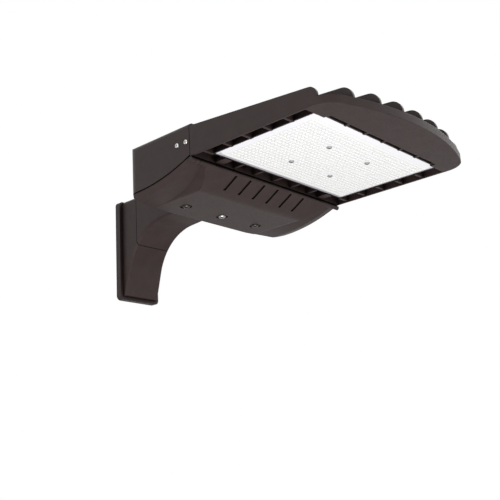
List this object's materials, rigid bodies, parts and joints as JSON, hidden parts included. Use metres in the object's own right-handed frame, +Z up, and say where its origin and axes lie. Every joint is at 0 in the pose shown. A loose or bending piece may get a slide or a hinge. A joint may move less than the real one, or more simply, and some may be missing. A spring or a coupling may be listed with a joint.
{
  "type": "shoebox area light",
  "caption": "Pole-mounted LED area light: bracket and arm, driver casing with a hinged door, finned light frame with a slotted rim round a flat lens.",
  "frame": {"origin": "centre of the mounting face behind the bracket's gasket, midway between the two pole bolt holes", "axes": "+X from the pole out along the arm, +Y to the left seen from the pole, +Z up"},
  "size_m": [0.563, 0.3308, 0.181],
  "materials": {
    "dark_bronze_paint": "dark bronze polyester powder coat on cast aluminium, fine texture, low sheen",
    "dark_screw": "blackened stainless screw",
    "steel_screw": "stainless steel",
    "lens_screw": "stainless steel",
    "rubber_seal": "matte black sponge rubber",
    "silicone_seal": "grey silicone",
    "driver_case": "satin grey enamel on an aluminium case",
    "surge_case": "moulded grey plastic",
    "terminal_plastic": "moulded off-white plastic",
    "ground_green": "green dyed steel",
    "cable_jacket": "PVC jacket",
    "lead_sleeve": "braided sleeve over the leads",
    "board_mask": "white solder mask on an aluminium board",
    "led_phosphor": "silicone with yellow phosphor",
    "lens_white": "moulded optical plastic, satin",
    "retainer_nylon": "nylon washer"
  },
  "bodies": {
    "root": {"bracket_gasket": "rubber_seal", "pole_bracket": "dark_bronze_paint", "arm_screws": "dark_screw", "rear_housing": "dark_bronze_paint", "seam_gasket": "rubber_seal", "led_housing": "dark_bronze_paint", "seam_bolts": "steel_screw", "side_screws": "dark_screw", "led_driver": "driver_case", "driver_screws": "steel_screw", "surge_protector": "surge_case", "surge_screws": "steel_screw", "terminal_block": "terminal_plastic", "terminal_block_screws": "steel_screw", "ground_screw": "ground_green", "cable_grommet": "rubber_seal", "output_cable": "cable_jacket", "input_leads": "lead_sleeve", "led_board": "board_mask", "led_chips": "led_phosphor", "board_screws": "steel_screw", "lens_gasket": "silicone_seal", "lens_panel": "lens_white", "lens_screws": "lens_screw", "door_gasket": "rubber_seal", "hinge_pins": "steel_screw"},
    "door": {"driver_door": "dark_bronze_paint", "door_screws": "steel_screw", "door_screw_retainers": "retainer_nylon"}
  },
  "joints": [
    {"name": "door_hinge", "type": "hinge", "parent": "root", "child": "door", "pos_m": [0.3032, 0, 0.0369], "axis": [0, -1, 0], "range_deg": [0, 90]}
  ]
}
